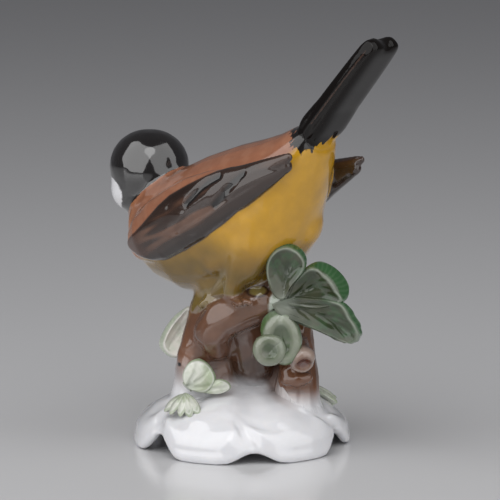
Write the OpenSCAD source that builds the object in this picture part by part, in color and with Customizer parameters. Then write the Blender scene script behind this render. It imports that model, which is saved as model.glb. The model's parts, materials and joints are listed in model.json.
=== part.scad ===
// Glazed porcelain songbird on a tree stump, made as separately cast and hand-formed pieces that are
// luted together with slip. The frame is +Z up, in millimetres, and the foot rests on z = 0.
// The bird is drawn in a frame of its own: x forward, y to its left, z up.

/* [Base] */
// Radius of the lobed foot, across its lobes
base_r = 31; // [28:0.5:32]
// Height of the mound at its middle
mound_h = 17; // [15:0.5:19]
// How much the outline draws in between two lobes
lobe_dip = 1.7; // [0:0.1:3]
// Width of the flat land that each lobe stands on
foot_land = 2.6; // [2:0.1:4]
// How far the lobes are turned from straight ahead, in degrees
lobe_turn = 7; // [0:1:30]

/* [Cast walls] */
// Wall of the slip-cast hollow pieces
wall = 2.8; // [2:0.1:3.5]
// Radius of the passage that joins one hollow to the next
vent_r = 1.6; // [1.4:0.1:1.9]

/* [Stump] */
// Radius of the main stump where it leaves the mound
stump_r = 11; // [9:0.5:12]
// Radius of the side trunk at its foot
side_r = 6.6; // [5:0.2:8]
// Radius of the perch branch
perch_r = 5.2; // [4:0.2:6]

/* [Bird] */
// Direction that the bird faces, from +X towards +Y, in degrees
bird_heading = 142; // [138:1:146]
// Height of the middle of the bird's body above the foot
bird_z = 64.8; // [64:0.2:66]
// Half the width of the body at its widest
body_w = 18.2; // [17:0.1:19]
// Radius of the head
head_r = 11; // [10:0.1:12]
// How far the head is turned, to the bird's left, in degrees
head_turn = -50; // [-60:1:-30]
// Length of the tail from the rump to its tip
tail_len = 36; // [32:1:38]
// Half the width of the tail
tail_w = 7.2; // [6:0.1:8]
// Slope of the tail above level, in degrees
tail_rise = 50; // [45:1:55]

/* [Leaves] */
// Thickness of a hand-formed leaf
leaf_t = 1.5; // [1.2:0.1:2]
// Length of the lowest and largest leaf
leaf_len = 25; // [23:1:27]

/* [Hidden] */

disc_fn = 28;
ball_fn = 20;
lobes = 6;
ring_fn = 84;

// Where the middle of the foot lies, so that the whole figure is centred on the origin
foot_at = [-2.2, 0.9, 0];
bird_at = [-3.9, 1, bird_z];
head_at = [28.4, 0.2, 10.2];

porcelain = [0.93, 0.93, 0.92];
bark = [0.42, 0.29, 0.22];
breast = [0.78, 0.6, 0.2];
cap = [0.1, 0.09, 0.09];
feather = [0.24, 0.18, 0.16];
leaf_green = [0.36, 0.47, 0.36];
pale_green = [0.78, 0.82, 0.72];

// Rise of the arch between each lobe and the next, starting from the front and going to the right
arch_rise = [3.0, 5.4, 4.2, 3.0, 4.2, 5.4];

// Sections of the body, from breast to rump: back [x, z], belly [x, z] and half-width
body_sections = [
    [[31.6, -3.5], [31.0, -8.0], 3],
    [[30.6, 1.5], [28.8, -13], 8.5],
    [[27.5, 6.0], [25.0, -17.2], 12.2],
    [[21.5, 9.6], [19.0, -20.6], 15.4],
    [[13.5, 12.8], [10.5, -22.8], 17.6],
    [[4.5, 17.0], [0.5, -22.6], body_w],
    [[-5.5, 20.6], [-10.0, -19.4], body_w],
    [[-14.0, 23.0], [-20.0, -13.0], 17],
    [[-20.5, 25.2], [-26.0, -4.5], 14.2],
    [[-25.0, 27.4], [-30.0, 6.0], 11.2],
    [[-28.0, 28.6], [-33.0, 15.0], 8.8],
    [[-29.6, 28.8], [-34.2, 20.5], 7.2]
];

// Swell of the flank and thigh on each side: middle and radius
flank_path = [
    [[-18.5, 7.0, 8.0], 7.2], [[-15.5, 8.0, 2.0], 8.6], [[-14.8, 8.6, -4.5], 7.9], [[-12.8, 9.2, -11.0], 6.0],
    [[-10.2, 9.7, -15.5], 3.7]
];

// Sections of a folded wing, from shoulder to tip: middle [x, y, z], half-depth and half-thickness
wing_sections = [
    [[24.0, 11.8, -9.8], 1.8, 1.6],
    [[22.4, 13.0, -8.8], 4.8, 3.1],
    [[18.2, 14.4, -6.7], 7.2, 4.0],
    [[12.2, 15.4, -3.6], 8.8, 4.4],
    [[5.2, 16.2, 0.2], 9.4, 4.6],
    [[-2.4, 16.6, 4.4], 9.2, 4.6],
    [[-9.8, 16.3, 8.3], 7.7, 4.4],
    [[-17.0, 15.4, 11.6], 5.6, 3.8],
    [[-23.2, 14.3, 14.6], 3.5, 2.9],
    [[-28.4, 13.4, 17.1], 2.1, 1.9],
    [[-31.6, 13.0, 18.7], 1.2, 1.2]
];
wing_slope = 27;
right_wing_tip = [-32.8, -12.8, 14.0];
right_wing_lift = 5;

// Paths of the stump's limbs, from the mound upwards: middle and radius
stump_path = [
    [[-4.5, 3.0, 8.5], [stump_r + 5.5, stump_r + 1]],
    [[-5.0, 3.0, 15.0], [stump_r + 3.2, stump_r - 0.5]],
    [[-5.2, 3.5, 22.0], [stump_r + 2.0, stump_r - 1.5]],
    [[-4.4, 3.8, 29.0], [stump_r + 1.0, stump_r - 2]],
    [[-2.6, 4.2, 36.0], [stump_r - 0.6, stump_r - 2.5]],
    [[-1.4, 4.4, 42.0], [stump_r - 1.2, stump_r - 3]],
    [[-0.4, 3.8, 48.0], [stump_r - 0.8, stump_r - 3]],
    [[0.2, 3.2, 54.0], [stump_r + 0.5, stump_r - 2.5]],
    [[0.5, 3.0, 57.0], [stump_r + 0.5, stump_r - 2.5]]
];
root_path = [
    [[-12.0, -3.5, 9.0], 8.2], [[-11.4, -2.5, 15.0], 7.4], [[-10.6, -2.0, 22.0], 6.6],
    [[-9.4, -1.0, 30.0], 5.9], [[-7.6, 0.5, 37.0], 5.6], [[-5.8, 2.0, 43.0], 6.2]
];
side_path = [
    [[15.6, -7.4, 8.0], side_r + 1.4], [[15.6, -7.2, 12.5], side_r], [[15.8, -6.8, 18.0], side_r - 0.7],
    [[15.6, -6.2, 24.0], side_r - 1.4], [[15.2, -5.4, 30.0], side_r - 1.6], [[14.0, -4.2, 36.0], side_r - 1.4],
    [[11.6, -2.4, 42.0], side_r - 0.9], [[8.8, -0.4, 48.0], side_r - 0.2], [[6.5, 1.2, 53.0], side_r + 0.6]
];
perch_path = [
    [[-3.5, -1.0, 27.5], perch_r - 1.6], [[-7.6, -7.0, 29.8], perch_r - 0.4], [[-8.2, -9.8, 33.4], perch_r],
    [[-5.6, -11.2, 37.2], perch_r + 0.2], [[-0.8, -11.8, 40.0], perch_r + 0.3], [[4.4, -11.6, 42.0], perch_r],
    [[8.8, -11.0, 43.0], perch_r - 0.8], [[12.0, -10.0, 43.5], perch_r - 1.8]
];

// Where the leaves of the big cluster leave their stem
stem_at = [10.6, -14.2, 42.6];

function mean(a, b) = (a + b) / 2;

// Height of the mound at a share of its radius, before the lobes' relief
function mound_z(share) =
    let (flank = pow(max(0, 1 - pow(share, 2.1)), 0.62))
    0.3 * mound_h * pow(max(0, 1 - pow(share, 7)), 0.5) + 0.7 * mound_h * flank;

// 1 where two lobes meet, falling to 0 over the lobes
function between_lobes(angle) =
    let (c = cos(lobes * (angle - lobe_turn)))
    pow(max(0, (c + 0.35) / 1.35), 2);

function arch_at(angle) = arch_rise[floor(((angle - lobe_turn + 30 + 360) % 360) / 60)];

// A point of the mound's skin: angle from straight ahead, share of the radius and depth under the skin
function mound_point(angle, share, depth) =
    let (
        gap = between_lobes(angle),
        r = (base_r - depth - lobe_dip * gap) * share,
        rim = arch_at(angle) * gap,
        z = rim * pow(share, 6) + (mound_z(share) - depth * (1 - 0.2 * share)) * (1 - rim / 60)
            - 0.9 * gap * share * share * (1 - pow(share, 8))
    )
    [r * sin(angle), -r * cos(angle), max(z, rim)];

function foot_point(angle, inset) =
    let (gap = between_lobes(angle), r = base_r - lobe_dip * gap - inset)
    [r * sin(angle), -r * cos(angle), arch_at(angle) * gap];

// One cut through the mound's wall: up the outside, over the top and back down the inside
function mound_profile(angle) = concat(
    [foot_point(angle, 0.7)],
    [for (share = [0.995, 0.975, 0.94, 0.88, 0.8, 0.7, 0.58, 0.42, 0.22, vent_r / base_r]) mound_point(angle, share, 0)],
    [for (share = [vent_r / (base_r - wall), 0.25, 0.5, 0.66, 0.8, 0.9, 0.96]) mound_point(angle, share, wall)],
    [foot_point(angle, foot_land)]
);

// Closed solid from rings of points that run once round, where the last ring meets the first
module ring_solid(rings) {
    n = len(rings);
    m = len(rings[0]);
    polyhedron(
        points = [for (r = rings) each r],
        faces = [
            for (i = [0:n - 1], j = [0:m - 1])
                let (a = i * m + j, b = i * m + (j + 1) % m, c = ((i + 1) % n) * m + j, d = ((i + 1) % n) * m + (j + 1) % m)
                each [[a, b, d], [a, d, c]]
        ],
        convexity = 6
    );
}

// Thin oval plate across x: half-width in y and half-height in z
module oval(at, half_w, half_h, tilt = 0, turn = 0, $fn = disc_fn) {
    translate(at)
        rotate([0, tilt, turn])
            scale([1, half_w, half_h])
                rotate([0, 90, 0])
                    cylinder(h = 0.02, r = 1, center = true);
}

// Smooth limb through balls at the points of a path
module limb(path, shrink = 0) {
    for (i = [0:len(path) - 2])
        hull() {
            translate(path[i][0]) sphere(path[i][1] - shrink, $fn = ball_fn);
            translate(path[i + 1][0]) sphere(path[i + 1][1] - shrink, $fn = ball_fn);
        }
}

// Upright limb through level ovals: middle, [half-size in x, half-size in y]
module oval_limb(path, shrink = 0) {
    for (i = [0:len(path) - 2])
        hull()
            for (s = [path[i], path[i + 1]])
                translate(s[0])
                    scale([s[1][0] - shrink, s[1][1] - shrink, 1])
                        cylinder(h = 0.02, r = 1, center = true, $fn = disc_fn);
}

module in_bird() {
    translate(bird_at) rotate([0, 0, bird_heading]) children();
}

module in_head() {
    in_bird() translate(head_at) rotate([0, 8, head_turn]) children();
}

// The body's egg, from breast to rump, shrunk all round by a wall
module body_egg(shrink = 0, first = 0, last = len(body_sections) - 1) {
    for (i = [first:last - 1])
        hull()
            for (s = [body_sections[i], body_sections[i + 1]])
                let (t = s[0] - s[1])
                oval([mean(s[0][0], s[1][0]), 0, mean(s[0][1], s[1][1])],
                     s[2] - shrink, norm(t) / 2 - shrink, atan2(t[0], t[1]));
}

module flanks() {
    limb(flank_path);
    mirror([0, 1, 0]) limb(flank_path);
}

module body_outer() {
    in_bird() {
        body_egg();
        flanks();
    }
}

module skull() {
    in_head() sphere(head_r, $fn = 36);
}

module head_outer() {
    skull();
    in_bird()
        hull() {
            translate(head_at + [-0.2, -0.4, -4.4]) sphere(head_r - 0.9, $fn = 24);
            translate([23.5, 0, -2]) sphere(head_r - 2.5, $fn = 24);
        }
}

// Opening between the hollow of the body and that of the head
module neck_passage() {
    in_bird() translate([24.5, 0, -5]) rotate([0, 18, 0]) cylinder(h = 14, r = 4.5, $fn = 24);
}

module mound_outer() {
    hull()
        for (level = [[0, 1], [0.15, 1], [5, 0.94], [8.8, 0.85], [11.6, 0.74], [14.2, 0.58], [15.6, 0.45]])
            translate([0, 0, level[0]]) cylinder(h = 0.02, r = base_r * level[1], $fn = 48);
}

module stump_outer(shrink = 0) {
    oval_limb(stump_path, shrink);
    limb(root_path, shrink);
}

module perch_outer() {
    limb(perch_path);
}

module side_outer(shrink = 0) {
    limb(side_path, shrink);
}

// Hollow in the front of the stump, under the perch
module stump_cave() {
    for (i = [0:2])
        hull() {
            translate([2.6 - i * 0.4, -9.5 + i * 0.6, 19 + i * 5]) scale([1, 1, 1.3]) sphere(4.4, $fn = ball_fn);
            translate([2.2 - i * 0.4, -8.9 + i * 0.6, 23 + i * 4]) scale([1, 1, 1.3]) sphere(4.2, $fn = ball_fn);
        }
}

// Leaf as a cupped, arched plate with toothed edges: x runs along the midrib from the stalk
module leaf(length, width, cup, arch, teeth = 0, tip = 0.62, thick = leaf_t) {
    along = 12;
    across = 8;
    function half_width(u) = width / 2 * pow(sin(180 * pow(u, tip)), 0.52) * (1 + teeth * sin(u * 360 * 5)) + 0.7;
    function skin(u, v, side) =
        let (w = half_width(u))
        [
            length * (u - 0.04 * abs(v)),
            w * v,
            -arch * pow(u, 1.7) * length + cup * width * (v * v - 0.12 * cos(v * 180))
                + side * thick / 2 * (1 - 0.45 * abs(v))
        ];
    rings = [
        for (i = [0:along])
            let (u = 0.02 + 0.97 * i / along)
            concat(
                [for (j = [0:across]) skin(u, -1 + 2 * j / across, 1)],
                [for (j = [across:-1:0]) skin(u, -1 + 2 * j / across, -1)]
            )
    ];
    m = 2 * (across + 1);
    polyhedron(
        points = [for (r = rings) each r],
        faces = concat(
            [for (i = [0:along - 1], j = [0:m - 1])
                each [[i * m + j, (i + 1) * m + j, (i + 1) * m + (j + 1) % m],
                      [i * m + j, (i + 1) * m + (j + 1) % m, i * m + (j + 1) % m]]],
            [for (j = [0:across - 1])
                each [[j, j + 1, m - 1 - j], [j + 1, m - 2 - j, m - 1 - j]]],
            [for (j = [0:across - 1])
                let (e = along * m)
                each [[e + j, e + m - 1 - j, e + j + 1], [e + j + 1, e + m - 1 - j, e + m - 2 - j]]]
        ),
        convexity = 6
    );
}

// Small relief leaf that lies against the mound or the bark
module leaflet(at, turn, length, width, thick) {
    // Share of the length at each section, and share of the width and thickness there
    sections = [[0, 0.3], [0.35, 0.95], [0.65, 1], [1, 0.25]];
    translate(at)
        rotate(turn)
            for (i = [0:2])
                hull()
                    for (s = [sections[i], sections[i + 1]])
                        oval([length * s[0], 0, 0], width / 2 * s[1], thick / 2 * s[1], $fn = 18);
}

module base_mound() {
    color(porcelain) ring_solid([for (i = [0:ring_fn - 1]) mound_profile(360 * i / ring_fn)]);
}

module stump() {
    color(bark)
        difference() {
            stump_outer();
            stump_cave();
            intersection() {
                stump_outer(wall + 0.6);
                translate([-30, -30, 0]) cube([60, 60, 40]);
            }
            translate([-1.4, 4.4, 36]) cylinder(h = 30, r = vent_r, $fn = 24);
            body_outer();
            mound_outer();
        }
}

module side_trunk() {
    color(bark)
        difference() {
            side_outer();
            stump_outer();
            body_outer();
            mound_outer();
            translate([16.3, -6.8, 0]) cylinder(h = 22, r = vent_r, $fn = 24);
        }
}

module perch_branch() {
    color(bark)
        difference() {
            perch_outer();
            stump_outer();
            side_outer();
        }
}

module branch_stub() {
    stub_path = [[[13.5, -9.0, 30.5], 3.6], [[15.4, -12.6, 28.6], 3.8], [[16.6, -15.0, 27.2], 3.9]];
    color(bark)
        difference() {
            limb(stub_path);
            side_outer();
            translate([18.0, -19.2, 25.4]) rotate([64, 0, 18]) cylinder(h = 6, r1 = 2.9, r2 = 2.2, center = true, $fn = 24);
        }
}

module trunk_knot() {
    color(bark)
        difference() {
            hull() {
                translate([14.2, -11.0, 22.4]) scale([1.5, 1, 1]) sphere(2.4, $fn = ball_fn);
                translate([16.6, -11.4, 21.6]) sphere(2.0, $fn = ball_fn);
            }
            side_outer();
        }
}

module bird_body() {
    color(breast)
        difference() {
            body_outer();
            in_bird() body_egg(wall, 2, len(body_sections) - 3);
            translate([-1.4, 4.4, 30]) cylinder(h = 30, r = vent_r, $fn = 24);
            neck_passage();
        }
}

module bird_head() {
    color(cap)
        difference() {
            head_outer();
            body_outer();
            in_head() sphere(head_r - wall, $fn = 24);
            neck_passage();
            for (side = [-1, 1]) eye(side);
        }
}

// Beak: a short cone of two mandibles with the line of the mouth between them
module beak() {
    color(cap)
        in_head()
            difference() {
                for (half = [-1, 1])
                    hull() {
                        translate([head_r - 1.2, 0, half * 0.8 - 1.4]) scale([0.7, 1.1, 0.8]) sphere(2.1, $fn = ball_fn);
                        translate([head_r + 5.2, 0, half * 0.3 - 2.2]) sphere(0.6, $fn = 16);
                    }
                sphere(head_r, $fn = 36);
            }
}

// Bead of the eye, set in a socket on the side of the head: 1 for the left eye and -1 for the right
module eye(side) {
    color(cap) in_head() rotate([0, -14, side * 50]) translate([head_r - 0.7, 0, 0]) sphere(1.7, $fn = 32);
}

module wing_outer() {
    for (i = [0:len(wing_sections) - 2])
        hull()
            for (s = [wing_sections[i], wing_sections[i + 1]])
                oval(s[0], s[2], s[1], wing_slope, 0);
    // Flight feathers that step back under one another to the tip
    for (i = [0:3])
        hull() {
            translate([2 - 3 * i, 16.6 - 0.3 * i, 6.8 + 1.4 * i]) rotate([0, wing_slope, 0]) scale([3.4, 0.9, 1.2]) sphere(2.3, $fn = 16);
            translate([-20 - 3.4 * i, 14.2 - 0.2 * i, 16.4 + 1.2 * i]) rotate([0, wing_slope, 0]) scale([2, 0.7, 0.8]) sphere(1.6, $fn = 16);
        }
}

// Folded wing, luted to the flank: 1 for the left wing and -1 for the right
module wing(side) {
    color(feather)
        difference() {
            in_bird()
                if (side > 0) wing_outer();
                else
                    translate(right_wing_tip) rotate([0, -right_wing_lift, 0]) translate(-wing_sections[9][0])
                        mirror([0, 1, 0]) translate([0, -2 * wing_sections[9][0][1], 0]) wing_outer();
            body_outer();
        }
}

module tail_outer() {
    tail_sections = [
        [-7, tail_w - 0.6, 5.6], [-2, tail_w - 0.2, 4.8], [4, tail_w, 3.6], [12, tail_w, 2.6], [20, tail_w, 2.1],
        [28, tail_w - 0.2, 1.8], [33, tail_w - 0.5, 1.6], [35, tail_w - 1.2, 1.3], [tail_len, tail_w - 2.4, 0.8]
    ];
    translate([-30.6, 0, 25.4])
        rotate([0, -tail_rise, 180])
            for (i = [0:len(tail_sections) - 2])
                hull()
                    for (s = [tail_sections[i], tail_sections[i + 1]])
                        oval([s[0], 0, 0], s[1], s[2]);
}

module tail() {
    color(cap)
        difference() {
            in_bird() tail_outer();
            body_outer();
        }
}

// Leg and foot: 1 for the left leg and -1 for the right
module leg(side) {
    ankle = [-6.4, side * 10.0, -21.4];
    color(bark)
        difference() {
            in_bird() {
                limb([[[-9.4, side * 9.7, -12], 3.6], [[-7.6, side * 9.9, -17], 2.3], [ankle, 1.7]]);
                for (toe = [-24, 0, 24])
                    limb([[ankle, 1.5], [ankle + [4.2 * cos(toe), 4.2 * sin(toe), -0.6], 1.4],
                          [ankle + [7 * cos(toe), 7 * sin(toe), -2.6], 0.9]]);
                limb([[ankle, 1.5], [ankle + [-4, 0, -0.4], 1.5], [ankle + [-6.6, 0, -1.8], 0.9]]);
            }
            body_outer();
            stump_outer();
            perch_outer();
        }
}

// Frame of a leaf that faces the front: stalk end, slope of its midrib below level, and turn about the vertical
module leaf_frame(at, slope, turn = 0, roll = 0) {
    translate(at) rotate([0, 0, turn]) rotate([90 + roll, slope, 0]) children();
}

module leaf_stem() {
    color(leaf_green)
        difference() {
            limb([[[8.4, -12.4, 41.6], 3.4], [stem_at, 3.2], [stem_at + [1.4, -1.2, 1.4], 2.4]]);
            limb([[stem_at + [-0.4, 0, -1], 2.6], [[10.6, -15.6, 37.8], 1.6], [[11.4, -16.4, 34.8], 1.2]]);
            perch_outer();
            side_outer();
            stump_outer();
        }
}

module leaf_top() {
    color(leaf_green) leaf_frame([11.4, -14.4, 43.2], -87, 0, 4) leaf(18.6, 13, 0.16, -0.04, 0.02, 0.8);
}

module leaf_upper() {
    color(leaf_green) leaf_frame([11.8, -14.6, 44.6], -12, 6, -22) leaf(19.5, 14, 0.16, 0.14, 0.03, 0.7);
}

module leaf_lower() {
    color(leaf_green) leaf_frame([10.8, -15.0, 42.0], 18, -10, -4) leaf(leaf_len, 14.5, 0.14, 0.02, 0.04, 0.78);
}

module bud_leaf() {
    color(pale_green) leaf_frame([10.2, -16.4, 39.8], 72, 0, 0) leaf(10.2, 5.8, 0.14, 0, 0, 0.8);
}

module bud_round() {
    color(pale_green) leaf_frame([11.4, -18.0, 32.4], 156, 0, 0) leaf(8.2, 6.8, 0.16, 0, 0, 0.85);
}

module leaf_behind() {
    color(pale_green)
        difference() {
            leaf_frame([-13.6, 5.6, 36.8], 122, -18, -34) leaf(17, 10, 0.14, -0.1, 0.02, 0.78);
            stump_outer();
        }
}

module leaf_rear() {
    color(pale_green)
        difference() {
            for (i = [-1:1])
                leaflet([17.2 - 0.3 * i, 6.4 + 0.9 * i, 15.1 - 0.2 * i], [0, 34 - 2 * i, 8 + 38 * i], 11 - i, 6.5, 4.2);
            mound_outer();
            stump_outer();
        }
}

module sprig_leaf_raised() {
    color(pale_green)
        difference() {
            leaflet([-17.6, -11.8, 18.2], [0, -40, -14], 11, 9, 5);
            stump_outer();
            mound_outer();
        }
}

module sprig_leaf_side() {
    color(pale_green)
        difference() {
            union() {
                leaflet([-17.0, -12.4, 18.4], [0, -14, -8], 10.5, 5.6, 4);
                leaflet([-10.0, -14.6, 18.0], [0, 2, 6], 8, 5.4, 4);
            }
            stump_outer();
            mound_outer();
        }
}

module sprig_leaflets() {
    color(pale_green)
        difference() {
            for (i = [0:4])
                leaflet([-18.6 + 0.8 * i, -12.0 - 0.6 * i, 18.0 - 0.3 * i], [0, 44 - i, -134 + 21 * i], 11 - 0.9 * i, 4.6, 4.4);
            stump_outer();
            mound_outer();
        }
}

module placed() {
    translate(foot_at) children();
}

placed() base_mound();
placed() stump();
placed() side_trunk();
placed() perch_branch();
placed() branch_stub();
placed() trunk_knot();
placed() bird_body();
placed() bird_head();
placed() beak();
placed() eye(1);  // eye_left
placed() eye(-1);  // eye_right
placed() wing(1);  // wing_left
placed() wing(-1);  // wing_right
placed() tail();
placed() leg(1);  // leg_left
placed() leg(-1);  // leg_right
placed() leaf_stem();
placed() leaf_top();
placed() leaf_upper();
placed() leaf_lower();
placed() bud_leaf();
placed() bud_round();
placed() leaf_behind();
placed() leaf_rear();
placed() sprig_leaf_raised();
placed() sprig_leaf_side();
placed() sprig_leaflets();
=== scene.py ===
# Glazed porcelain songbird on a tree stump. The cast pieces are luted together and glazed over, so they
# are modelled as one skin, smoothed as slip and glaze do, and then cut back into the separate pieces.
# The hand-formed leaves are pieces of their own. Lengths are in millimetres about the middle of the foot
# until a piece is finished; its mesh is then written in metres in the part's frame.
import json
import math

import bmesh
import bpy
import numpy as np
from mathutils import Matrix, Vector
from mathutils.bvhtree import BVHTree

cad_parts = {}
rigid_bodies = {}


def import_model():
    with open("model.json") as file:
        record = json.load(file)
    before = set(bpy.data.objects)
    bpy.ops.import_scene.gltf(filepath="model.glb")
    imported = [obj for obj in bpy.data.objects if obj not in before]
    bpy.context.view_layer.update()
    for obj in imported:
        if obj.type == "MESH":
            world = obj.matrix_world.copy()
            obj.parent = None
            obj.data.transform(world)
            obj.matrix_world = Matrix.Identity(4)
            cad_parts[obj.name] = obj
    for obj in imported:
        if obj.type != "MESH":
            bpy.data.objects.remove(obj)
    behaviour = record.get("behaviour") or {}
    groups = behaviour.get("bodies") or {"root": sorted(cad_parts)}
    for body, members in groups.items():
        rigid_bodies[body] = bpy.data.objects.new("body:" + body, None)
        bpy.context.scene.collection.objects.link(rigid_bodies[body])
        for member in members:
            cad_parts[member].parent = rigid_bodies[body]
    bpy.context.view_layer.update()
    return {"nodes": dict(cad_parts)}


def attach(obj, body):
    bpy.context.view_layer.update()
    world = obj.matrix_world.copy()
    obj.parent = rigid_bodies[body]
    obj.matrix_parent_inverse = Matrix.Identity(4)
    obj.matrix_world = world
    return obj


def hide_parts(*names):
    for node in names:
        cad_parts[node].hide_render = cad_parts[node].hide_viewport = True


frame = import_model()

MM = 0.001

# Places that the part's source gives: the middle of the foot, and the bird's own frame
FOOT_AT = Vector((-2.2, 0.9, 0.0))
BIRD_AT = Vector((-3.9, 1.0, 64.8))
BIRD_HEADING = math.radians(142)
HEAD_AT = Vector((28.4, 0.2, 10.2))
HEAD_TURN = math.radians(-50)
HEAD_NOD = math.radians(8)
HEAD_R = 11.0

BIRD = Matrix.Translation(BIRD_AT) @ Matrix.Rotation(BIRD_HEADING, 4, "Z")
HEAD = (
    BIRD
    @ Matrix.Translation(HEAD_AT)
    @ Matrix.Rotation(HEAD_TURN, 4, "Z")
    @ Matrix.Rotation(HEAD_NOD, 4, "Y")
)
FOOT_R = 31.0
LOBE_STEP = 60
LOBE_TURN = 7.0
TO_PART = Matrix.Scale(MM, 4) @ Matrix.Translation(FOOT_AT)

# The wing's own plane, in the bird's frame: its shoulder, the way to its tip and the way to its upper edge
WING_SHOULDER = np.array((24.0, 11.8, -9.8))
WING_ALONG = np.array((-0.890, 0.019, 0.456))
WING_ACROSS = np.array((0.456, 0.0, 0.890))

# The width of the skin's mesh, and the CAD nodes that it covers
GRAIN = 0.42
BARK_NODES = ("stump", "side_trunk", "perch_branch", "branch_stub", "trunk_knot")
BIRD_NODES = ("bird_body", "bird_head", "wing_left", "wing_right", "tail", "leg_left", "leg_right")
SKIN_NODES = ("base_mound", *BARK_NODES, *BIRD_NODES, "leaf_stem")


# ---------------------------------------------------------------- small helpers

def scene_object(name, data):
    """Puts a mesh, a light or a camera in the scene as an object at the origin."""
    piece = bpy.data.objects.new(name, data)
    bpy.context.scene.collection.objects.link(piece)
    return piece


def mesh_of(bm, name):
    """Turns a bmesh into a mesh and frees it."""
    mesh = bpy.data.meshes.new(name)
    bm.to_mesh(mesh)
    bm.free()
    return mesh


def read_all(items, field, width, kind=np.float64):
    """One field of every item of a mesh, as rows of a set width."""
    values = np.empty(len(items) * len(np.atleast_1d(getattr(items[0], field))), dtype=kind)
    items.foreach_get(field, values)
    return values.reshape(-1, width)


def shade_smooth(mesh):
    mesh.polygons.foreach_set("use_smooth", [True] * len(mesh.polygons))


def rounded(piece, levels):
    rounding = piece.modifiers.new("rounding", "SUBSURF")
    rounding.levels = levels
    rounding.render_levels = levels


def place_points(mesh, points):
    mesh.vertices.foreach_set("co", np.ascontiguousarray(points, dtype=np.float64).ravel())
    mesh.update()


def in_frame(points, matrix):
    """Points about the foot, as a frame of the object sees them."""
    inverse = np.array(matrix.inverted())
    return points @ inverse[:3, :3].T + inverse[:3, 3]


def ramp(value, low, high):
    """0 below low, 1 above high, and a soft step in between."""
    t = np.clip((value - low) / (high - low), 0.0, 1.0)
    return t * t * (3 - 2 * t)


def bump(value, middle, width):
    """1 at middle, falling to 0 a width away on either side."""
    return np.maximum(0.0, 1 - ((value - middle) / width) ** 2) ** 2


def waves(points, length, seed, stretch=(1, 1, 1)):
    """Soft uneven relief between -1 and 1: a few sine waves that cross in seeded directions."""
    draw = np.random.default_rng(seed)
    scaled = points / np.array(stretch) * (2 * math.pi / length)
    total = np.zeros(len(points))
    for octave in (0.6, 1.0, 1.45, 2.1):
        for _ in range(3):
            way = draw.normal(size=3)
            way *= octave / np.linalg.norm(way)
            total += np.sin(scaled @ way + draw.uniform(0, 2 * math.pi)) / octave**0.5
    return total / 6.0


def merged_copy(node):
    """A CAD node's mesh with its loose triangles joined, in millimetres about the foot."""
    bm = bmesh.new()
    bm.from_mesh(frame["nodes"][node].data)
    bmesh.ops.remove_doubles(bm, verts=bm.verts, dist=1e-7)
    bmesh.ops.transform(bm, matrix=TO_PART.inverted(), verts=bm.verts)
    return bm


def add_beads(bm, frame_matrix, path):
    """Adds balls that run into one another through places (x, y, z, radius) of a frame."""
    for a, b in zip(path, path[1:]):
        start, end = Vector(a[:3]), Vector(b[:3])
        step = max(0.4, 0.1 * min(a[3], b[3]))
        count = max(2, int((end - start).length / step))
        for i in range(count + 1):
            share = i / count
            at = Matrix.Translation(start.lerp(end, share))
            radius = a[3] + (b[3] - a[3]) * share
            fineness = 3 if radius > 5 else 2
            bmesh.ops.create_icosphere(bm, subdivisions=fineness, radius=radius, matrix=frame_matrix @ at)


def remeshed(mesh, size, name):
    """The outside of overlapping closed forms as one even mesh."""
    source = scene_object(name + "_source", mesh)
    grain = source.modifiers.new("grain", "REMESH")
    grain.mode = "VOXEL"
    grain.voxel_size = size
    grain.adaptivity = 0
    bpy.context.view_layer.update()
    shown = source.evaluated_get(bpy.context.evaluated_depsgraph_get())
    result = bpy.data.meshes.new_from_object(shown)
    bpy.data.objects.remove(source)
    return result


def keep_largest(mesh):
    """Drops every island of a mesh but the largest one."""
    bm = bmesh.new()
    bm.from_mesh(mesh)
    left = set(bm.verts)
    best = set()
    while left:
        front = [next(iter(left))]
        island = set(front)
        while front:
            near = {e.other_vert(v) for v in front for e in v.link_edges} - island
            island |= near
            front = list(near)
        left -= island
        if len(island) > len(best):
            best = island
    bmesh.ops.delete(bm, geom=[v for v in bm.verts if v not in best], context="VERTS")
    bm.to_mesh(mesh)
    bm.free()
    return mesh


class Skin:
    """An even mesh that is smoothed and pushed along its normals, point by point."""

    def __init__(self, mesh):
        self.mesh = mesh
        self.points = read_all(mesh.vertices, "co", 3)
        self.a, self.b = read_all(mesh.edges, "vertices", 2, np.int64).T
        self.count = len(self.points)
        self.valence = np.bincount(self.a, minlength=self.count) + np.bincount(self.b, minlength=self.count)

    def mean(self, values):
        """The mean of each point's neighbours."""
        if values.ndim == 1:
            total = np.bincount(self.a, values[self.b], self.count)
            total = total + np.bincount(self.b, values[self.a], self.count)
            return total / self.valence
        return np.stack([self.mean(values[:, axis]) for axis in range(values.shape[1])], axis=1)

    def smooth(self, rounds, share=0.5, weight=None):
        weight = share if weight is None else (share * weight)[:, None]
        for _ in range(rounds):
            self.points += weight * (self.mean(self.points) - self.points)

    def normals(self):
        place_points(self.mesh, self.points)
        return read_all(self.mesh.vertex_normals, "vector", 3)

    def fill_creases(self, rounds, weight):
        """Lets slip and glaze gather in creases: points only move outwards."""
        for i in range(rounds):
            if i % 4 == 0:
                out = self.normals()
            pull = self.mean(self.points) - self.points
            rise = np.maximum(0.0, (pull * out).sum(axis=1)) * weight
            self.points += out * rise[:, None]

    def push(self, heights):
        self.points += self.normals() * heights[:, None]


def frame_from(origin, along, up):
    """A frame at a point, with x along one way and z as near as can be to another."""
    x = Vector(along).normalized()
    y = Vector(up).cross(x).normalized()
    z = x.cross(y)
    turn = Matrix((x, y, z)).transposed().to_4x4()
    return Matrix.Translation(Vector(origin)) @ turn


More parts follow.
